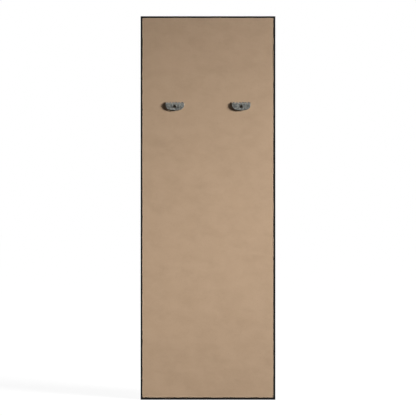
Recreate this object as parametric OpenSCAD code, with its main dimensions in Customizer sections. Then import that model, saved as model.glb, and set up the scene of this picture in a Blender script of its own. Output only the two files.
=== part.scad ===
// Leaner mirror in a slim extruded frame.
// X runs across, Z runs up, and the glass faces -Y. The origin is the middle of the frame's underside.
// Left and right are as seen from the front.

/* [Overall] */
// Width over the frame
mirror_w = 650; // [520:10:900]
// Height over the frame
mirror_h = 1850; // [1300:10:2100]
// Depth of the frame from its front face to its back edge
frame_depth = 25; // [23:0.5:40]

/* [Frame bar] */
// Width of the hollow bar, which is the black edge seen from behind
bar_w = 8; // [5.5:0.5:12]
// Wall of the hollow bar
bar_wall = 1.2; // [1:0.1:1.5]
// Thickness of the front lip
lip_t = 1.5; // [1.3:0.1:2.5]
// Reach of the front lip over the glass
lip_reach = 4; // [3.5:0.5:10]
// Rounding of the bar's long edges
edge_r = 0.5; // [0.2:0.1:0.6]

/* [Corner keys] */
// Length of each leg of a corner key, from its outer corner
key_leg = 60; // [56:2:90]
// Chamfer that leads the ends of the legs into the bar
key_lead = 0.8; // [0.4:0.1:1.2]
// Clearance between a key and the outer wall of the bar
key_gap = 0.3; // [0.1:0.05:0.5]
// Clearance between a key and the front and back walls of the bar
key_side_gap = 0.2; // [0.1:0.05:0.5]
// Thread diameter of the grub screws
grub_d = 4; // [3:0.5:5]
// Distance from the frame's corner to the nearer grub screw
grub_first = 22; // [16:1:26]
// Distance between the two grub screws of a leg
grub_pitch = 24; // [12:1:26]
// Width across the flats of a grub screw's socket
grub_socket = 2; // [1.5:0.1:2]
// Depth of a grub screw's socket
grub_socket_depth = 1.5; // [1:0.1:2]
// How far a tightened grub screw lies below the inner wall
grub_sink = 0.2; // [0:0.1:0.6]
// Radial clearance between a grub screw and its thread in the key
thread_gap = 0.05; // [0.02:0.01:0.1]
// Radial clearance of the access holes round the grub screws
access_gap = 0.4; // [0.2:0.1:1]

/* [Glass] */
// Thickness of the mirror glass
glass_t = 4; // [3:0.5:6]
// Gap between the edge of the glass and the bar
glass_gap = 1; // [0.5:0.25:2]
// Ground chamfer on the edges of the glass
glass_arris = 0.5; // [0.2:0.1:1]
// Thickness of the safety film
film_t = 0.3; // [0.1:0.1:0.6]
// Bare margin round the safety film
film_margin = 2; // [0:1:12]
// Width of the glazing tape
tape_w = 3; // [2:0.25:3.25]
// Thickness of the glazing tape
tape_t = 1; // [0.5:0.1:2]

/* [Backing] */
// Thickness of the backing board
board_t = 5; // [3:0.5:6]
// How far the board lies inside the back edge of the frame
board_recess = 1; // [0:0.25:3]
// Gap between the top and side edges of the board and the bar
board_gap = 0.5; // [0.25:0.25:1.5]
// Gap below the board, which makes the black line thicker along the bottom
board_foot_gap = 3.5; // [0.5:0.25:6]
// Width of the perimeter battens
batten_w = 30; // [20:2:50]
// Gap between the battens and the bar
batten_gap = 0.3; // [0.1:0.1:1]
// Width of the two lower cross rails
cross_rail_w = 40; // [30:2:60]
// How far the hanger rail reaches above and below the hangers
rail_margin = 15; // [6:1:30]
// Gap round each filler panel
filler_gap = 0.5; // [0.2:0.1:3]
// Gap at the butt joints of the battens, rails and tapes
butt_gap = 0.2; // [0.1:0.1:0.5]

/* [Hangers] */
// Distance between the middles of the two hangers
hanger_spacing = 320; // [240:10:360]
// Distance from the top of the frame down to the toothed edges
hanger_drop = 415; // [200:5:600]
// Width of a hanger
hanger_w = 90; // [76:2:110]
// Height of a hanger
hanger_h = 40; // [36:1:48]
// How far a hanger stands out from the board
hanger_proud = 10; // [7:0.5:12]
// Thickness of the hanger's sheet steel
sheet_t = 1.2; // [0.8:0.1:1.5]
// Radius of the long arc along the bottom of a hanger
lower_r = 99; // [80:1:140]
// Radius of the arcs that lead from the straight ends into the long arc
end_r = 24; // [18:1:28]
// Outside radius of the fold round the face
fold_r = 2; // [1.75:0.25:4]
// Width of the strip that slopes to the toothed edge
slope_w = 7; // [5:0.5:9]
// How far the toothed edge drops towards the board
slope_drop = 2.5; // [0.5:0.25:4]

/* [Teeth and hanging hole] */
// Number of teeth
tooth_count = 6; // [4:1:8]
// Distance from the end of a hanger to the middle of its outer notch
tooth_margin = 2.4; // [1:0.2:5]
// Depth of the notches between the teeth
notch_depth = 5; // [3:0.25:6.5]
// Width of a notch at its mouth
notch_mouth = 6.5; // [4:0.25:7.5]
// Width of a notch at its root
notch_root = 2.5; // [1:0.25:3.5]
// Width of the triangular hole
hole_w = 18; // [15:0.5:22]
// Height of the triangular hole
hole_h = 16; // [13:0.5:18]
// Radius of the corners of the triangular hole, to suit the wall screw's shank
hole_r = 2.75; // [2:0.25:3.5]
// Distance from the toothed edge down to the top of the triangular hole
hole_drop = 11; // [10:0.5:13]

/* [Clinch tabs] */
// Width of a tab
tab_w = 7; // [5:0.5:8]
// Length of a tab's folded leg
tab_fold = 7; // [4:0.5:10]
// Distance from the toothed edge to the middle of an end tab
tab_drop = 6; // [4.5:0.25:8]
// Clearance round a tab in its slot in the board
tab_gap = 0.3; // [0.1:0.05:0.6]
// Clearance round a folded leg in the rail behind the board
relief_gap = 1; // [0.5:0.25:2]

/* [Hidden] */
$fn = 64;

// Quarter turns about Y that bring a left side, or a bottom left corner, to the other three
left_turn = 0;
top_turn = 90;
right_turn = 180;
bottom_turn = 270;
turns = [left_turn, top_turn, right_turn, bottom_turn];

// Depths of the layers, from front to back
front_y = -frame_depth / 2;
back_y = frame_depth / 2;
lip_back_y = front_y + lip_t;
glass_front_y = lip_back_y + tape_t;
glass_back_y = glass_front_y + glass_t;
film_back_y = glass_back_y + film_t;
board_back_y = back_y - board_recess;
board_front_y = board_back_y - board_t;

// Hollow of the bar, measured inwards from the frame's outer face
hollow_out = bar_wall;
hollow_in = bar_w - bar_wall;
grub_y = (lip_back_y + back_y - bar_wall) / 2;
grub_places = [grub_first, grub_first + grub_pitch];

// Inner edge of the perimeter battens, measured inwards, and the heights of the rails and bays
batten_in = bar_w + batten_gap + batten_w;
rail_half = mirror_w / 2 - batten_in - butt_gap;
hanger_rail_high = mirror_h - hanger_drop + rail_margin;
hanger_rail_low = mirror_h - hanger_drop - hanger_h - rail_margin;
lower_bays = 3;
bay_h = (hanger_rail_low - batten_in - (lower_bays - 1) * cross_rail_w) / lower_bays;
bay_pitch = bay_h + cross_rail_w;

// Three arcs make the lower outline of a hanger: a long one below and a short one at each end
half_w = hanger_w / 2;
arc_x = half_w - end_r;
arch_h = lower_r - sqrt((lower_r - end_r) * (lower_r - end_r) - arc_x * arc_x);
end_h = hanger_h - arch_h;
arc_y = lower_r - hanger_h;
// The line through the centres of the long arc and a short one parts them: a point far out on it
far_out = 5;
parting = [0, arc_y] + far_out * [arc_x, arch_h - lower_r];
slope_angle = atan2(slope_drop, slope_w);
tooth_pitch = (hanger_w - 2 * tooth_margin) / tooth_count;

// Overshoot of a cut beyond the surface that it opens
cut = 1;

frame_black = [0.05, 0.05, 0.055];
key_zinc = [0.62, 0.63, 0.64];
screw_steel = [0.3, 0.3, 0.32];
silver_glass = [0.8, 0.85, 0.87];
film_grey = [0.55, 0.57, 0.6];
tape_black = [0.12, 0.12, 0.12];
pine = [0.82, 0.7, 0.5];
card = [0.76, 0.64, 0.46];
board_tan = [0.69, 0.58, 0.47];
galvanised = [0.47, 0.48, 0.46];

function upright(turn) = turn % 180 == 0;
function across(turn) = upright(turn) ? mirror_w : mirror_h;
function along(turn) = upright(turn) ? mirror_h : mirror_w;
function corner_x(turn) = turn < 180 ? -mirror_w / 2 : mirror_w / 2;
function corner_z(turn) = turn == top_turn || turn == right_turn ? mirror_h : 0;

// Puts what is drawn for the left side on a side: x inwards from the outer face, z along the side
module on_side(turn) {
    translate([0, 0, mirror_h / 2])
        rotate([0, turn, 0])
            translate([-across(turn) / 2, 0, 0])
                children();
}

// Puts what is drawn for the bottom left corner on a corner: x and z along its two sides
module at_corner(turn) {
    translate([corner_x(turn), 0, corner_z(turn)])
        rotate([0, turn, 0])
            children();
}

// Extrudes a shape drawn in X and Z from one depth to another
module deep(from_y, to_y) {
    translate([0, to_y, 0])
        rotate([90, 0, 0])
            linear_extrude(to_y - from_y)
                children();
}

// Level strip between the side battens
module level_strip(half_width, from_z, to_z) {
    translate([-half_width, film_back_y, from_z])
        cube([2 * half_width, board_front_y - film_back_y, to_z - from_z]);
}

// Strip along a side; the uprights stop at the level strips
module side_strip(turn, inset, width, from_y, to_y) {
    length = along(turn) - 2 * inset - (upright(turn) ? 2 * (width + butt_gap) : 0);
    on_side(turn)
        translate([inset, from_y, -length / 2])
            cube([width, to_y - from_y, length]);
}

module rounded_rectangle(from, to, radius) {
    size = to - from;
    translate(from + [radius, 0])
        square([size.x - 2 * radius, size.y]);
    translate(from + [0, radius])
        square([size.x, size.y - 2 * radius]);
    for (x = [from.x + radius, to.x - radius], y = [from.y + radius, to.y - radius])
        translate([x, y])
            circle(radius);
}

// Section of the extrusion: a hollow bar with a lip over the glass
module bar_section() {
    difference() {
        union() {
            rounded_rectangle([0, front_y], [bar_w, back_y], edge_r);
            rounded_rectangle([bar_w / 2, front_y], [bar_w + lip_reach, lip_back_y], edge_r);
        }
        translate([hollow_out, lip_back_y])
            square([hollow_in - hollow_out, back_y - bar_wall - lip_back_y]);
    }
}

// One mitred length of the extrusion, with the holes that reach the grub screws
module frame_bar(turn) {
    half = along(turn) / 2;
    mitre = bar_w + lip_reach + cut;
    color(frame_black)
        on_side(turn)
            difference() {
                intersection() {
                    translate([0, 0, -half])
                        linear_extrude(2 * half)
                            bar_section();
                    deep(front_y - cut, back_y + cut)
                        polygon([[0, -half], [mitre, mitre - half], [mitre, half - mitre], [0, half]]);
                }
                for (end = [-1, 1], place = grub_places)
                    translate([hollow_in - cut, grub_y, end * (half - place)])
                        rotate([0, 90, 0])
                            cylinder(r = grub_d / 2 + access_gap, h = bar_wall + 2 * cut);
            }
}

module frame_left_stile() frame_bar(left_turn);
module frame_top_rail() frame_bar(top_turn);
module frame_right_stile() frame_bar(right_turn);
module frame_bottom_rail() frame_bar(bottom_turn);

// Grub screws, or their threads, in both legs of the bottom left corner
module at_grubs() {
    for (place = grub_places) {
        translate([0, grub_y, place])
            rotate([0, 90, 0])
                children();
        translate([place, grub_y, 0])
            children();
    }
}

module corner_key(turn) {
    outer = hollow_out + key_gap;
    end = outer + key_leg;
    color(key_zinc)
        at_corner(turn)
            difference() {
                deep(lip_back_y + key_side_gap, back_y - bar_wall - key_side_gap)
                    polygon([
                        [outer, outer],
                        [end - key_lead, outer], [end, outer + key_lead],
                        [end, hollow_in - key_lead], [end - key_lead, hollow_in],
                        [hollow_in, hollow_in],
                        [hollow_in, end - key_lead], [hollow_in - key_lead, end],
                        [outer + key_lead, end], [outer, end - key_lead]
                    ]);
                at_grubs()
                    cylinder(r = grub_d / 2 + thread_gap, h = bar_w);
            }
}

module corner_key_bottom_left() corner_key(left_turn);
module corner_key_top_left() corner_key(top_turn);
module corner_key_top_right() corner_key(right_turn);
module corner_key_bottom_right() corner_key(bottom_turn);

// A grub screw stands on the outer wall of the bar and presses its key against the inner wall
module grub_screw() {
    length = hollow_in - hollow_out - grub_sink;
    translate([0, 0, hollow_out])
        difference() {
            cylinder(d = grub_d, h = length);
            translate([0, 0, length - grub_socket_depth])
                cylinder(r = grub_socket / sqrt(3), h = grub_socket_depth + cut, $fn = 6);
        }
}

module corner_key_screws() {
    color(screw_steel)
        for (turn = turns)
            at_corner(turn)
                at_grubs()
                    grub_screw();
}

// Section of a slab across its width, with all four edges ground off
module arrissed_section(width) {
    half = width / 2;
    polygon([
        [glass_arris - half, glass_front_y], [half - glass_arris, glass_front_y],
        [half, glass_front_y + glass_arris], [half, glass_back_y - glass_arris],
        [half - glass_arris, glass_back_y], [glass_arris - half, glass_back_y],
        [-half, glass_back_y - glass_arris], [-half, glass_front_y + glass_arris]
    ]);
}

module mirror_glass() {
    width = mirror_w - 2 * (bar_w + glass_gap);
    height = mirror_h - 2 * (bar_w + glass_gap);
    color(silver_glass)
        translate([0, 0, mirror_h / 2])
            intersection() {
                translate([0, 0, -height / 2])
                    linear_extrude(height)
                        arrissed_section(width);
                rotate([0, 90, 0])
                    translate([0, 0, -width / 2])
                        linear_extrude(width)
                            arrissed_section(height);
            }
}

module safety_film() {
    margin = bar_w + glass_gap + glass_arris + film_margin;
    color(film_grey)
        translate([margin - mirror_w / 2, glass_back_y, margin])
            cube([mirror_w - 2 * margin, film_t, mirror_h - 2 * margin]);
}

module glazing_tape(turn) {
    color(tape_black)
        side_strip(turn, bar_w + (lip_reach - tape_w) / 2, tape_w, lip_back_y, glass_front_y);
}

module glazing_tape_left() glazing_tape(left_turn);
module glazing_tape_top() glazing_tape(top_turn);
module glazing_tape_right() glazing_tape(right_turn);
module glazing_tape_bottom() glazing_tape(bottom_turn);

module batten(turn) {
    color(pine)
        side_strip(turn, bar_w + batten_gap, batten_w, film_back_y, board_front_y);
}

module batten_left() batten(left_turn);
module batten_top() batten(top_turn);
module batten_right() batten(right_turn);
module batten_bottom() batten(bottom_turn);

// Puts a hanger's own drawing on the board: x across, y up from the toothed edge, z out of the board
module at_hanger(side) {
    translate([side * hanger_spacing / 2, board_back_y, mirror_h - hanger_drop])
        rotate([90, 0, 180])
            children();
}

// Puts what is drawn for one tab at the three tabs: x from the tab's outer face towards the hanger's
// middle, y across the tab, z out of the board
module at_tabs() {
    for (end = [0, 180])
        rotate([0, 0, end])
            translate([-half_w, end == 0 ? -tab_drop : tab_drop, 0])
                children();
    translate([0, -hanger_h, 0])
        rotate([0, 0, 90])
            children();
}

// Room for a tab between two heights, with a clearance all round
module tab_room(length, clearance, from_z, to_z) {
    at_tabs()
        translate([-clearance, -tab_w / 2 - clearance, from_z])
            cube([length + 2 * clearance, tab_w + 2 * clearance, to_z - from_z]);
}

// Wide rail behind the hangers, routed out for their folded tabs
module hanger_rail() {
    color(pine)
        difference() {
            level_strip(rail_half, hanger_rail_low, hanger_rail_high);
            for (side = [-1, 1])
                at_hanger(side)
                    tab_room(sheet_t + tab_fold, relief_gap, -board_t - sheet_t - relief_gap, -board_t + cut);
        }
}

// Cross rails and filler panels are counted upwards from the lowest bay
module cross_rail(place) {
    low = batten_in + place * bay_pitch - cross_rail_w;
    color(pine)
        level_strip(rail_half, low, low + cross_rail_w);
}

module cross_rail_middle() cross_rail(2);
module cross_rail_lower() cross_rail(1);

module filler_panel(from_z, to_z) {
    color(card)
        level_strip(rail_half - filler_gap, from_z + filler_gap, to_z - filler_gap);
}

module lower_filler(place) {
    low = batten_in + place * bay_pitch;
    filler_panel(low, low + bay_h);
}

module filler_panel_top() filler_panel(hanger_rail_high, mirror_h - batten_in);
module filler_panel_upper() lower_filler(2);
module filler_panel_middle() lower_filler(1);
module filler_panel_lower() lower_filler(0);

// Board, cut a little short at the foot
module backing_board() {
    half = mirror_w / 2 - bar_w - board_gap;
    low = bar_w + board_foot_gap;
    high = mirror_h - bar_w - board_gap;
    color(board_tan)
        difference() {
            deep(board_front_y, board_back_y)
                polygon([[-half, low], [half, low], [half, high], [-half, high]]);
            for (side = [-1, 1])
                at_hanger(side)
                    tab_room(sheet_t, tab_gap, -board_t - cut, cut);
        }
}

// Section of a pressed form from its axis to its wall, with the fold rounded
module pressed_section(reach, height, radius) {
    square([reach, height - radius]);
    square([reach - radius, height]);
    translate([reach - radius, height - radius])
        circle(radius);
}

// Part of a round pressed form within a triangle that starts at its centre
module pressed_sector(centre, reach, height, radius, far_points) {
    intersection() {
        translate(centre)
            rotate_extrude()
                pressed_section(reach, height, radius);
        translate([0, 0, -cut])
            linear_extrude(height + 2 * cut)
                polygon([centre, far_points[0], far_points[1]]);
    }
}

// Solid half-moon, drawn in from the outside of the pressing by inset and carried past the toothed edge
// by rise
module half_moon(inset, rise) {
    height = hanger_proud - inset;
    radius = fold_r - inset;
    intersection() {
        union() {
            pressed_sector([0, arc_y], lower_r - inset, height, radius, [parting, [-parting.x, parting.y]]);
            for (side = [0, 1])
                mirror([side, 0, 0])
                    pressed_sector(
                        [arc_x, -end_h], end_r - inset, height, radius,
                        [parting, [parting.x, -end_h]]
                    );
            translate([0, rise, 0])
                rotate([90, 0, 0])
                    linear_extrude(end_h + rise)
                        for (side = [0, 1])
                            mirror([side, 0])
                                pressed_section(half_w - inset, height, radius);
        }
        slope_side(inset, rise);
    }
}

// Everything below the face and the sloping strip, seen from the end of the hanger
module slope_side(inset, rise) {
    height = hanger_proud - inset;
    bend_y = -slope_w - inset * tan(slope_angle / 2);
    edge_z = height - (rise - bend_y) * tan(slope_angle);
    low_y = -hanger_h - cut;
    rotate([90, 0, 90])
        translate([0, 0, -half_w - cut])
            linear_extrude(hanger_w + 2 * cut)
                polygon([[low_y, 0], [rise, 0], [rise, edge_z], [bend_y, height], [low_y, height]]);
}

// Notches along the toothed edge, cut through the sloping strip only; the end ones open to the sides
module notches() {
    floor_z = hanger_proud - slope_drop - 2 * sheet_t;
    translate([0, 0, floor_z])
        linear_extrude(hanger_proud) {
            for (i = [0:tooth_count])
                translate([tooth_margin - half_w + i * tooth_pitch, 0])
                    polygon([
                        [-notch_root / 2, -notch_depth], [notch_root / 2, -notch_depth],
                        [notch_mouth / 2, 0], [notch_mouth / 2, cut],
                        [-notch_mouth / 2, cut], [-notch_mouth / 2, 0]
                    ]);
            for (side = [0, 1])
                mirror([side, 0])
                    translate([half_w - tooth_margin, -notch_depth])
                        square([tooth_margin + cut, notch_depth + cut]);
        }
}

// Triangular hole, apex up, as the outline round three equal circles
module hanging_hole() {
    base_y = -hole_drop - hole_h + hole_r;
    apex = [0, -hole_drop - hole_r];
    corner = [hole_w / 2 - hole_r, base_y];
    slant = corner - apex;
    slant_out = [-slant.y, slant.x] / norm(slant) * hole_r;
    for (centre = [apex, corner, [-corner.x, corner.y]])
        translate(centre)
            circle(hole_r);
    polygon([
        apex + slant_out, corner + slant_out,
        corner - [0, hole_r], [-corner.x, base_y - hole_r],
        [-corner.x - slant_out.x, corner.y + slant_out.y], [-slant_out.x, apex.y + slant_out.y]
    ]);
}

// A tab passes through the board and folds flat against its inner face
module clinch_tab() {
    rotate([90, 0, 0])
        translate([0, 0, -tab_w / 2])
            linear_extrude(tab_w) {
                translate([0, -board_t])
                    square([sheet_t, board_t + sheet_t]);
                intersection() {
                    translate([sheet_t, -board_t])
                        circle(sheet_t);
                    translate([0, -board_t - sheet_t])
                        square(sheet_t);
                }
                translate([sheet_t, -board_t - sheet_t])
                    square([tab_fold, sheet_t]);
            }
}

// Pressed half-moon hanger: a pocket in sheet steel, open at its toothed upper edge
module hanger(side) {
    color(galvanised)
        at_hanger(side) {
            difference() {
                half_moon(0, 0);
                half_moon(sheet_t, cut);
                notches();
                translate([0, 0, hanger_proud - 2 * sheet_t])
                    linear_extrude(3 * sheet_t)
                        hanging_hole();
            }
            at_tabs()
                clinch_tab();
        }
}

module hanger_left() hanger(-1);
module hanger_right() hanger(1);

frame_left_stile();
frame_top_rail();
frame_right_stile();
frame_bottom_rail();
corner_key_bottom_left();
corner_key_top_left();
corner_key_top_right();
corner_key_bottom_right();
corner_key_screws();
mirror_glass();
safety_film();
glazing_tape_left();
glazing_tape_top();
glazing_tape_right();
glazing_tape_bottom();
batten_left();
batten_top();
batten_right();
batten_bottom();
hanger_rail();
cross_rail_middle();
cross_rail_lower();
filler_panel_top();
filler_panel_upper();
filler_panel_middle();
filler_panel_lower();
backing_board();
hanger_left();
hanger_right();
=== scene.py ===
# Leaner mirror seen from behind: finishes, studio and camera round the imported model.
import math

import bpy
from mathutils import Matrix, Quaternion, Vector


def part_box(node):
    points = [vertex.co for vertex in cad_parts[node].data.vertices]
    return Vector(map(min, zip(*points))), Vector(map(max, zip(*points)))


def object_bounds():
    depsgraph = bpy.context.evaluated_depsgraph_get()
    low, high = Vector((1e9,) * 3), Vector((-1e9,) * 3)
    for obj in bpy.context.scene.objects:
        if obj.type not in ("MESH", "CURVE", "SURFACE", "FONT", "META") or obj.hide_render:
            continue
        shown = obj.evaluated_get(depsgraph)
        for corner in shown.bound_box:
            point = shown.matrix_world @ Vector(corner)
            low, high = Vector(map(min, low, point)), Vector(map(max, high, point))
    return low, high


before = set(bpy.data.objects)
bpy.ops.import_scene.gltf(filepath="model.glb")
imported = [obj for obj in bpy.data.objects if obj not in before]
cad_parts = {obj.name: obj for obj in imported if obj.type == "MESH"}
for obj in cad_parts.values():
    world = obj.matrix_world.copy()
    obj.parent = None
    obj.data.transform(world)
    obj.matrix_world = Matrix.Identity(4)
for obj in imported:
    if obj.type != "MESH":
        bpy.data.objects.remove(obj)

cad_low, cad_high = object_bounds()

# The photograph's side and the mirror's outline in it, in pixels
IMAGE_SIDE = 416
OUTLINE_TOP = 16.2
OUTLINE_BOTTOM = 399.8

# Camera, in millimetres
LENS = 100
SENSOR = 36

# Key lamp, in metres and watts. Its direction from the hangers is fitted to their shadows
KEY_DIRECTION = Vector((-0.9, 0.4, 0.205))
KEY_DISTANCE = 10.0
KEY_WIDTH = 2.8
KEY_HEIGHT = 0.4
KEY_SPREAD = math.radians(26.5)
KEY_AIM_HEIGHT = 0.66
KEY_POWER = 58.5

# Side lamp, a long and slanting strip, fitted to the same shadows
SIDE_DIRECTION = Vector((-0.872, 0.466, 0.147))
SIDE_DISTANCE = 9.0
SIDE_LENGTH = 7.2
SIDE_BREADTH = 1.2
SIDE_ROLL = math.radians(-49)
SIDE_POWER = 268

# Front lamp, for the side with the glass
FRONT_PLACE = (-2.6, -3.6, 3.2)
FRONT_WIDTH = 2.4
FRONT_POWER = 30

# World: levels, where 1 is white, and where they change along a ray's direction
AMBIENT_LEVEL = 0.002
BACKGROUND_LEVEL = 1.0
ROOM_LEVEL = 0.8
ROOM_HEIGHT = 0.5
SHADE_LEVEL = 0.62
SHADE_PERIOD = 0.42
SHADE_EDGE = -0.2

# Floor: distances in metres, and how bright it looks near the mirror and far away, where 1 is white
FLOOR_HALF = 30.0
FLOOR_TONE = 0.15
FLOOR_NEAR = 1.5
FLOOR_FAR = 3.5
FLOOR_NEAR_GLOW = 0.93
FLOOR_FAR_GLOW = 1.0
FLOOR_REFLECTED = 0.78

MM = 0.001

# Painted highlights, pale bands along the teeth of a hanger and round the board: their widths and their
# strength
TEETH_HIGHLIGHT_WIDTH = 7 * MM
EDGE_HIGHLIGHT_WIDTH = 4.5 * MM
HIGHLIGHT_STRENGTH = 0.5

# Where a painted highlight band fades, as parts of its width
FADE_IN_START = 0.3
FADE_IN_END = 0.6
FADE_OUT_START = 0.8
FADE_OUT_END = 1.2


def grey(level):
    """An opaque grey."""
    return (level, level, level, 1)


def socket(sockets, identifier):
    """The socket with that identifier, where several share a name."""
    return next(s for s in sockets if s.identifier == identifier)


class Tree:
    """A node tree with short ways to add to it. An input is a value or another node's output."""

    def __init__(self, owner):
        owner.use_nodes = True
        self.tree = owner.node_tree
        self.tree.nodes.clear()

    def put(self, target, value):
        """Links an output to a socket, or sets the socket to a value."""
        if isinstance(value, bpy.types.NodeSocket):
            self.tree.links.new(value, target)
        else:
            target.default_value = value

    def add(self, kind, inputs=None, **settings):
        """A new node of that kind, with its inputs and settings."""
        node = self.tree.nodes.new(kind)
        for name, value in settings.items():
            setattr(node, name, value)
        for name, value in (inputs or {}).items():
            self.put(node.inputs[name], value)
        return node

    def calculate(self, operation, first, second=0.0):
        """Result of a math node's operation on one or two numbers."""
        node = self.tree.nodes.new("ShaderNodeMath")
        node.operation = operation
        self.put(node.inputs[0], first)
        self.put(node.inputs[1], second)
        return node.outputs[0]

    def mix(self, factor, first, second):
        """The first colour where the factor is 0, and the second where it is 1."""
        node = self.add("ShaderNodeMix", data_type="RGBA")
        self.put(socket(node.inputs, "Factor_Float"), factor)
        self.put(socket(node.inputs, "A_Color"), first)
        self.put(socket(node.inputs, "B_Color"), second)
        return socket(node.outputs, "Result_Color")

    def parts(self, vector):
        """The X, Y and Z of a vector."""
        return self.add("ShaderNodeSeparateXYZ", {"Vector": vector}).outputs

    def spread(self, value, low, high, to_low=0.0, to_high=1.0):
        """Carries a value from one range to another, and holds it at the ends."""
        node = self.add(
            "ShaderNodeMapRange",
            {"Value": value, "From Min": low, "From Max": high, "To Min": to_low, "To Max": to_high},
        )
        return node.outputs["Result"]

    def place(self, stretch=(1, 1, 1), turn=0):
        """Position in the object's own metres, stretched and then turned about Y by degrees."""
        where = self.add("ShaderNodeTexCoord").outputs["Object"]
        node = self.add(
            "ShaderNodeMapping",
            {"Vector": where, "Rotation": (0, math.radians(turn), 0), "Scale": stretch},
            vector_type="TEXTURE",
        )
        return node.outputs["Vector"]

    def noise(self, vector, size, detail, roughness=0.5, distortion=0.0):
        """Noise whose features are about size metres across."""
        node = self.add(
            "ShaderNodeTexNoise",
            {
                "Vector": vector, "Scale": 1 / size, "Detail": detail,
                "Roughness": roughness, "Distortion": distortion,
            },
        )
        return node.outputs["Fac"]

    def cells(self, vector, size, feature="F1", randomness=1.0):
        """Outputs of a pattern of cells about size metres across."""
        node = self.add(
            "ShaderNodeTexVoronoi",
            {"Vector": vector, "Scale": 1 / size, "Randomness": randomness},
            feature=feature,
        )
        return node.outputs

    def threads(self, vector, scale, axis):
        """Even waves along an axis."""
        node = self.add("ShaderNodeTexWave", {"Vector": vector, "Scale": scale}, bands_direction=axis)
        return node.outputs["Fac"]

    def bump(self, height, depth, strength):
        """Relief whose full height is depth metres."""
        inputs = {"Height": height, "Distance": depth, "Strength": strength}
        return self.add("ShaderNodeBump", inputs).outputs["Normal"]

    def surface(self, **inputs):
        """Principled shader and output. An underscore stands for a blank in an input's name."""
        named = {name.replace("_", " "): value for name, value in inputs.items()}
        shader = self.add("ShaderNodeBsdfPrincipled", named)
        self.add("ShaderNodeOutputMaterial", {"Surface": shader.outputs["BSDF"]})


def material(name):
    """A new material and its empty tree."""
    made = bpy.data.materials.new(name)
    return made, Tree(made)


def dress(finish, *names):
    """Gives CAD nodes a finish."""
    for name in names:
        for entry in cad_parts[name].material_slots:
            entry.material = finish


def painted_highlight(tree, distance, width):
    """How strongly a painted highlight shows as a pale band, at a distance from the line that it runs
    along.
    """
    start = FADE_OUT_START * width
    end = FADE_OUT_END * width
    return tree.spread(distance, start, end, to_low=HIGHLIGHT_STRENGTH, to_high=0.0)


def inside_board(tree, where):
    """Distance of a place on the backing board from the nearest of its edges."""
    low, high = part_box("backing_board")
    at = tree.parts(where)
    aside = tree.calculate("SUBTRACT", high.x, tree.calculate("ABSOLUTE", at["X"]))
    below = tree.calculate("SUBTRACT", high.z, at["Z"])
    above = tree.calculate("SUBTRACT", at["Z"], low.z)
    return tree.calculate("MINIMUM", aside, tree.calculate("MINIMUM", below, above))


def fibreboard():
    """Smooth tan board: pressed fibres, faint smudges that are wider than they are tall, and a painted
    highlight round its edges.
    """
    deep_tan = (0.388, 0.266, 0.167, 1)
    tan = (0.432, 0.298, 0.189, 1)
    smudge_tan = (0.46, 0.322, 0.21, 1)
    highlight_tan = (0.53, 0.38, 0.255, 1)
    fibre_brown = (0.32, 0.212, 0.124, 1)
    fleck_brown = (0.24, 0.15, 0.088, 1)
    made, tree = material("fibreboard")
    flat = tree.place()
    fibres = tree.place(stretch=(4, 1, 1), turn=-35)
    smudged = tree.place(stretch=(1.5, 1, 1), turn=-5)
    cloud = tree.noise(flat, size=130 * MM, detail=3)
    smudge = tree.noise(smudged, size=50 * MM, detail=5, roughness=0.62, distortion=0.3)
    fibre = tree.noise(fibres, size=1.6 * MM, detail=5, roughness=0.65)
    fleck = tree.noise(flat, size=3.4 * MM, detail=2, roughness=0.6)
    # Painted highlight: a pale band round the board's edges, where light would catch them
    edge_highlight = painted_highlight(tree, inside_board(tree, flat), EDGE_HIGHLIGHT_WIDTH)
    colour = tree.mix(tree.spread(cloud, low=0.3, high=0.7), deep_tan, tan)
    colour = tree.mix(tree.spread(smudge, low=0.34, high=0.66, to_high=0.75), colour, smudge_tan)
    colour = tree.mix(edge_highlight, colour, highlight_tan)
    colour = tree.mix(tree.spread(fibre, low=0.25, high=0.75, to_high=0.28), colour, fibre_brown)
    colour = tree.mix(tree.spread(fleck, low=0.64, high=0.74, to_high=0.45), colour, fleck_brown)
    rough = tree.spread(smudge, low=0.3, high=0.7, to_low=0.72, to_high=0.82)
    relief = tree.bump(fibre, depth=0.05 * MM, strength=0.5)
    tree.surface(Base_Color=colour, Roughness=rough, Normal=relief)
    return made


def powder_coat():
    """Satin black powder coat on the extrusion, with its fine orange peel."""
    black = (0.004, 0.004, 0.0044, 1)
    worn_black = (0.006, 0.006, 0.0064, 1)
    made, tree = material("powder_coat")
    flat = tree.place()
    peel = tree.noise(flat, size=0.9 * MM, detail=2)
    wear = tree.noise(flat, size=60 * MM, detail=4)
    colour = tree.mix(tree.spread(wear, low=0.35, high=0.7), black, worn_black)
    rough = tree.spread(wear, low=0.3, high=0.7, to_low=0.4, to_high=0.5)
    relief = tree.bump(peel, depth=0.04 * MM, strength=0.25)
    tree.surface(Base_Color=colour, Roughness=rough, Specular_IOR_Level=0.12, Normal=relief)
    return made


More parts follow.
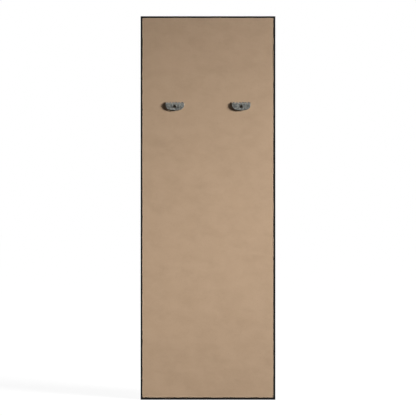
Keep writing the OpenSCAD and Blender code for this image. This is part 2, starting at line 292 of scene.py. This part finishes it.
def galvanised():
    """Dull zinc on sheet steel: spangle, dark patches, and a painted highlight along the teeth."""
    dark_crystal = (0.09, 0.093, 0.085, 1)
    pale_crystal = (0.21, 0.212, 0.194, 1)
    dark_zinc = (0.042, 0.045, 0.042, 1)
    pale_zinc = (0.3, 0.3, 0.275, 1)
    highlight_zinc = (0.36, 0.35, 0.32, 1)
    made, tree = material("galvanised")
    flat = tree.place()
    below = tree.calculate("SUBTRACT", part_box("hanger_right")[1].z, tree.parts(flat)["Z"])
    bloom = tree.noise(flat, size=9 * MM, detail=3)
    spangle = tree.cells(flat, size=4.2 * MM)["Color"]
    crystal = tree.add("ShaderNodeSeparateColor", {"Color": spangle}).outputs["Red"]
    patch = tree.noise(flat, size=13 * MM, detail=4, roughness=0.6, distortion=0.6)
    grain = tree.noise(flat, size=0.7 * MM, detail=3)
    colour = tree.mix(crystal, dark_crystal, pale_crystal)
    colour = tree.mix(tree.spread(patch, low=0.47, high=0.57, to_high=0.95), colour, dark_zinc)
    colour = tree.mix(tree.spread(bloom, low=0.53, high=0.65, to_high=0.7), colour, pale_zinc)
    # Painted highlight: a pale band along the teeth, where the sloping sheet would catch the light
    past_teeth = tree.spread(below, FADE_IN_START * TEETH_HIGHLIGHT_WIDTH, FADE_IN_END * TEETH_HIGHLIGHT_WIDTH)
    teeth_highlight = tree.calculate("MULTIPLY", painted_highlight(tree, below, TEETH_HIGHLIGHT_WIDTH), past_teeth)
    colour = tree.mix(teeth_highlight, colour, highlight_zinc)
    rough = tree.spread(crystal, low=0.0, high=1.0, to_low=0.42, to_high=0.6)
    relief = tree.bump(grain, depth=0.05 * MM, strength=0.4)
    tree.surface(Base_Color=colour, Metallic=0.75, Roughness=rough, Normal=relief)
    return made


def silvered_glass():
    """Mirror glass: silver under a clear face, faintly green, with the least trace of wiping."""
    silver = (0.86, 0.885, 0.875, 1)
    wiped_silver = (0.875, 0.9, 0.89, 1)
    made, tree = material("silvered_glass")
    wiped = tree.place(stretch=(1, 1, 3), turn=30)
    trace = tree.noise(wiped, size=110 * MM, detail=5, roughness=0.6)
    colour = tree.mix(tree.spread(trace, low=0.3, high=0.7), silver, wiped_silver)
    rough = tree.spread(trace, low=0.35, high=0.75, to_low=0.004, to_high=0.02)
    tree.surface(Base_Color=colour, Metallic=1.0, Roughness=rough, Coat_Weight=1.0, Coat_Roughness=0.005)
    return made


def backing_film():
    """Grey adhesive film with a fine weave."""
    gap_grey = (0.2, 0.21, 0.23, 1)
    thread_grey = (0.3, 0.31, 0.33, 1)
    thread_scale = 90.0
    made, tree = material("backing_film")
    flat = tree.place()
    warp = tree.threads(flat, thread_scale, "X")
    weft = tree.threads(flat, thread_scale, "Z")
    weave = tree.calculate("MULTIPLY", warp, weft)
    colour = tree.mix(weave, gap_grey, thread_grey)
    relief = tree.bump(weave, depth=0.08 * MM, strength=0.4)
    tree.surface(Base_Color=colour, Roughness=0.55, Normal=relief)
    return made


def foam_tape():
    """Black closed-cell foam."""
    made, tree = material("foam_tape")
    pores = tree.cells(tree.place(), size=0.35 * MM)["Distance"]
    colour = tree.mix(tree.spread(pores, low=0.1, high=0.6), grey(0.006), grey(0.022))
    relief = tree.bump(pores, depth=0.12 * MM, strength=0.6)
    tree.surface(Base_Color=colour, Roughness=0.85, Normal=relief)
    return made


def pine(name, stretch):
    """Planed pine, its grain along the way that the texture is stretched."""
    pale_pine = (0.62, 0.42, 0.23, 1)
    ring_brown = (0.47, 0.27, 0.12, 1)
    fine_pine = (0.7, 0.52, 0.31, 1)
    made, tree = material(name)
    grain_place = tree.place(stretch)
    rings = tree.noise(grain_place, size=9 * MM, detail=4, roughness=0.55, distortion=0.8)
    fine = tree.noise(grain_place, size=0.8 * MM, detail=3, roughness=0.6)
    colour = tree.mix(tree.spread(rings, low=0.38, high=0.62), pale_pine, ring_brown)
    colour = tree.mix(tree.spread(fine, low=0.3, high=0.7, to_high=0.35), colour, fine_pine)
    relief = tree.bump(fine, depth=0.08 * MM, strength=0.5)
    tree.surface(Base_Color=colour, Roughness=0.62, Normal=relief)
    return made


def kraft_card():
    """Paper face of the honeycomb panels, the cells just showing through."""
    wall_brown = (0.4, 0.27, 0.15, 1)
    kraft = (0.46, 0.32, 0.19, 1)
    fibre_brown = (0.33, 0.21, 0.11, 1)
    made, tree = material("kraft_card")
    flat = tree.place()
    comb = tree.cells(flat, size=16 * MM, feature="DISTANCE_TO_EDGE", randomness=0.15)["Distance"]
    fibres = tree.place(stretch=(3, 1, 1))
    fibre = tree.noise(fibres, size=1.5 * MM, detail=5, roughness=0.7)
    colour = tree.mix(tree.spread(comb, low=0.02, high=0.14), wall_brown, kraft)
    colour = tree.mix(tree.spread(fibre, low=0.35, high=0.65, to_high=0.4), colour, fibre_brown)
    relief = tree.bump(comb, depth=0.3 * MM, strength=0.4)
    tree.surface(Base_Color=colour, Roughness=0.8, Normal=relief)
    return made


def zinc_casting():
    """Bare zinc of the corner keys, slightly grainy."""
    dull_zinc = (0.4, 0.41, 0.42, 1)
    bright_zinc = (0.55, 0.56, 0.57, 1)
    made, tree = material("zinc_casting")
    flat = tree.place()
    grain = tree.noise(flat, size=0.5 * MM, detail=4, roughness=0.65)
    cloud = tree.noise(flat, size=9 * MM, detail=3)
    colour = tree.mix(tree.spread(cloud, low=0.35, high=0.65), dull_zinc, bright_zinc)
    rough = tree.spread(cloud, low=0.3, high=0.7, to_low=0.38, to_high=0.52)
    relief = tree.bump(grain, depth=0.04 * MM, strength=0.6)
    tree.surface(Base_Color=colour, Metallic=0.9, Roughness=rough, Normal=relief)
    return made


def blackened_steel():
    """Black oxide of the grub screws, with brighter rubbed spots."""
    oxide = (0.03, 0.03, 0.032, 1)
    made, tree = material("blackened_steel")
    rub = tree.noise(tree.place(), size=1.2 * MM, detail=3)
    colour = tree.mix(tree.spread(rub, low=0.55, high=0.75), oxide, grey(0.16))
    relief = tree.bump(rub, depth=0.02 * MM, strength=0.5)
    tree.surface(Base_Color=colour, Metallic=0.9, Roughness=0.42, Normal=relief)
    return made


def make_floor():
    """Floor that looks white or nearly so, except in the object's shadow."""
    half = FLOOR_HALF
    corners = [(-half, -half, 0), (half, -half, 0), (half, half, 0), (-half, half, 0)]
    mesh = bpy.data.meshes.new("floor")
    mesh.from_pydata(corners, [], [(0, 1, 2, 3)])
    floor = bpy.data.objects.new("floor", mesh)
    bpy.context.scene.collection.objects.link(floor)
    made, tree = material("floor_white")
    where = tree.add("ShaderNodeTexCoord").outputs["Object"]
    distance = tree.add("ShaderNodeVectorMath", {0: where}, operation="LENGTH").outputs["Value"]
    glow = tree.spread(distance, FLOOR_NEAR, FLOOR_FAR, FLOOR_NEAR_GLOW, FLOOR_FAR_GLOW)
    path = tree.add("ShaderNodeLightPath").outputs
    glossy = tree.calculate("MAXIMUM", path["Is Glossy Ray"], path["Is Transmission Ray"])
    seen = tree.calculate("MULTIPLY", path["Is Camera Ray"], glow)
    level = tree.calculate("ADD", seen, tree.calculate("MULTIPLY", glossy, FLOOR_REFLECTED))
    plain = tree.add("ShaderNodeBsdfDiffuse", {"Color": grey(FLOOR_TONE)})
    light = tree.add("ShaderNodeEmission", {"Color": grey(1), "Strength": level})
    both = tree.add("ShaderNodeAddShader", {0: plain.outputs[0], 1: light.outputs[0]})
    tree.add("ShaderNodeOutputMaterial", {"Surface": both.outputs[0]})
    mesh.materials.append(made)


def make_world():
    """White behind the object, a trace of even light, and a pale room with soft shade in the mirror."""
    world = bpy.data.worlds.new("studio")
    bpy.context.scene.world = world
    tree = Tree(world)
    path = tree.add("ShaderNodeLightPath").outputs
    direction = tree.parts(tree.add("ShaderNodeTexCoord").outputs["Generated"])
    room = tree.spread(direction["Z"], 0.0, ROOM_HEIGHT, BACKGROUND_LEVEL, ROOM_LEVEL)
    turns = tree.calculate("DIVIDE", tree.calculate("ADD", direction["X"], direction["Z"]), SHADE_PERIOD)
    wave = tree.calculate("COSINE", tree.calculate("MULTIPLY", turns, 2 * math.pi))
    shade = tree.spread(wave, low=-1.0, high=1.0, to_low=SHADE_LEVEL, to_high=BACKGROUND_LEVEL)
    in_front = tree.spread(direction["Y"], low=SHADE_EDGE, high=0.0, to_low=1.0, to_high=0.0)
    reflected = tree.mix(in_front, room, shade)
    glossy = tree.calculate("MAXIMUM", path["Is Glossy Ray"], path["Is Transmission Ray"])
    lit = tree.mix(glossy, grey(AMBIENT_LEVEL), reflected)
    colour = tree.mix(path["Is Camera Ray"], lit, grey(BACKGROUND_LEVEL))
    glow = tree.add("ShaderNodeBackground", {"Color": colour, "Strength": 1.0})
    tree.add("ShaderNodeOutputWorld", {"Surface": glow.outputs[0]})


def softbox(name, place, target, width, height, power, spread=math.pi, roll=0.0):
    """Rectangular lamp aimed at a point, and rolled about its own axis."""
    data = bpy.data.lights.new(name, "AREA")
    data.shape = "RECTANGLE"
    data.size = width
    data.size_y = height
    data.spread = spread
    data.energy = power
    lamp = bpy.data.objects.new(name, data)
    bpy.context.scene.collection.objects.link(lamp)
    lamp.location = place
    aim = (Vector(target) - lamp.location).to_track_quat("-Z", "Y")
    lamp.rotation_euler = (aim @ Quaternion((0, 0, 1), roll)).to_euler()


def make_lights():
    """Two lamps from the photograph's right, for the shadows of the hangers, and one for the front."""
    board_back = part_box("backing_board")[1].y
    hangers = Vector((0, board_back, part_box("hanger_left")[1].z))
    middle = (cad_low + cad_high) / 2
    key_place = hangers + KEY_DIRECTION.normalized() * KEY_DISTANCE
    key_target = (0, board_back, KEY_AIM_HEIGHT)
    softbox("key", key_place, key_target, KEY_WIDTH, KEY_HEIGHT, KEY_POWER, KEY_SPREAD)
    side_place = hangers + SIDE_DIRECTION.normalized() * SIDE_DISTANCE
    softbox("side", side_place, middle, SIDE_LENGTH, SIDE_BREADTH, SIDE_POWER, roll=SIDE_ROLL)
    softbox("front", FRONT_PLACE, middle, FRONT_WIDTH, FRONT_WIDTH, FRONT_POWER)


def make_camera():
    """Straight on from behind, with the outline as tall as in the photograph."""
    data = bpy.data.cameras.new("camera")
    data.lens = LENS
    data.sensor_width = SENSOR
    camera = bpy.data.objects.new("camera", data)
    bpy.context.scene.collection.objects.link(camera)
    low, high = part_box("frame_left_stile")
    seen = (high.z - low.z) * IMAGE_SIDE / (OUTLINE_BOTTOM - OUTLINE_TOP)
    camera.location = (0, high.y + seen * LENS / SENSOR, (low.z + high.z) / 2)
    camera.rotation_euler = (math.pi / 2, 0, math.pi)
    bpy.context.scene.camera = camera


def dress_nodes():
    """Gives every piece its finish."""
    dress(powder_coat(), "frame_left_stile", "frame_top_rail", "frame_right_stile", "frame_bottom_rail")
    corners = ("bottom_left", "top_left", "top_right", "bottom_right")
    dress(zinc_casting(), *("corner_key_" + corner for corner in corners))
    dress(blackened_steel(), "corner_key_screws")
    dress(silvered_glass(), "mirror_glass")
    dress(backing_film(), "safety_film")
    sides = ("left", "top", "right", "bottom")
    dress(foam_tape(), *("glazing_tape_" + side for side in sides))
    dress(pine("pine_upright", stretch=(1, 1, 25)), "batten_left", "batten_right")
    level = ("batten_top", "batten_bottom", "hanger_rail", "cross_rail_middle", "cross_rail_lower")
    dress(pine("pine_level", stretch=(25, 1, 1)), *level)
    bays = ("top", "upper", "middle", "lower")
    dress(kraft_card(), *("filler_panel_" + bay for bay in bays))
    dress(fibreboard(), "backing_board")
    dress(galvanised(), "hanger_left", "hanger_right")


dress_nodes()
make_floor()
make_world()
make_lights()
make_camera()
bpy.context.scene.view_settings.view_transform = "Standard"
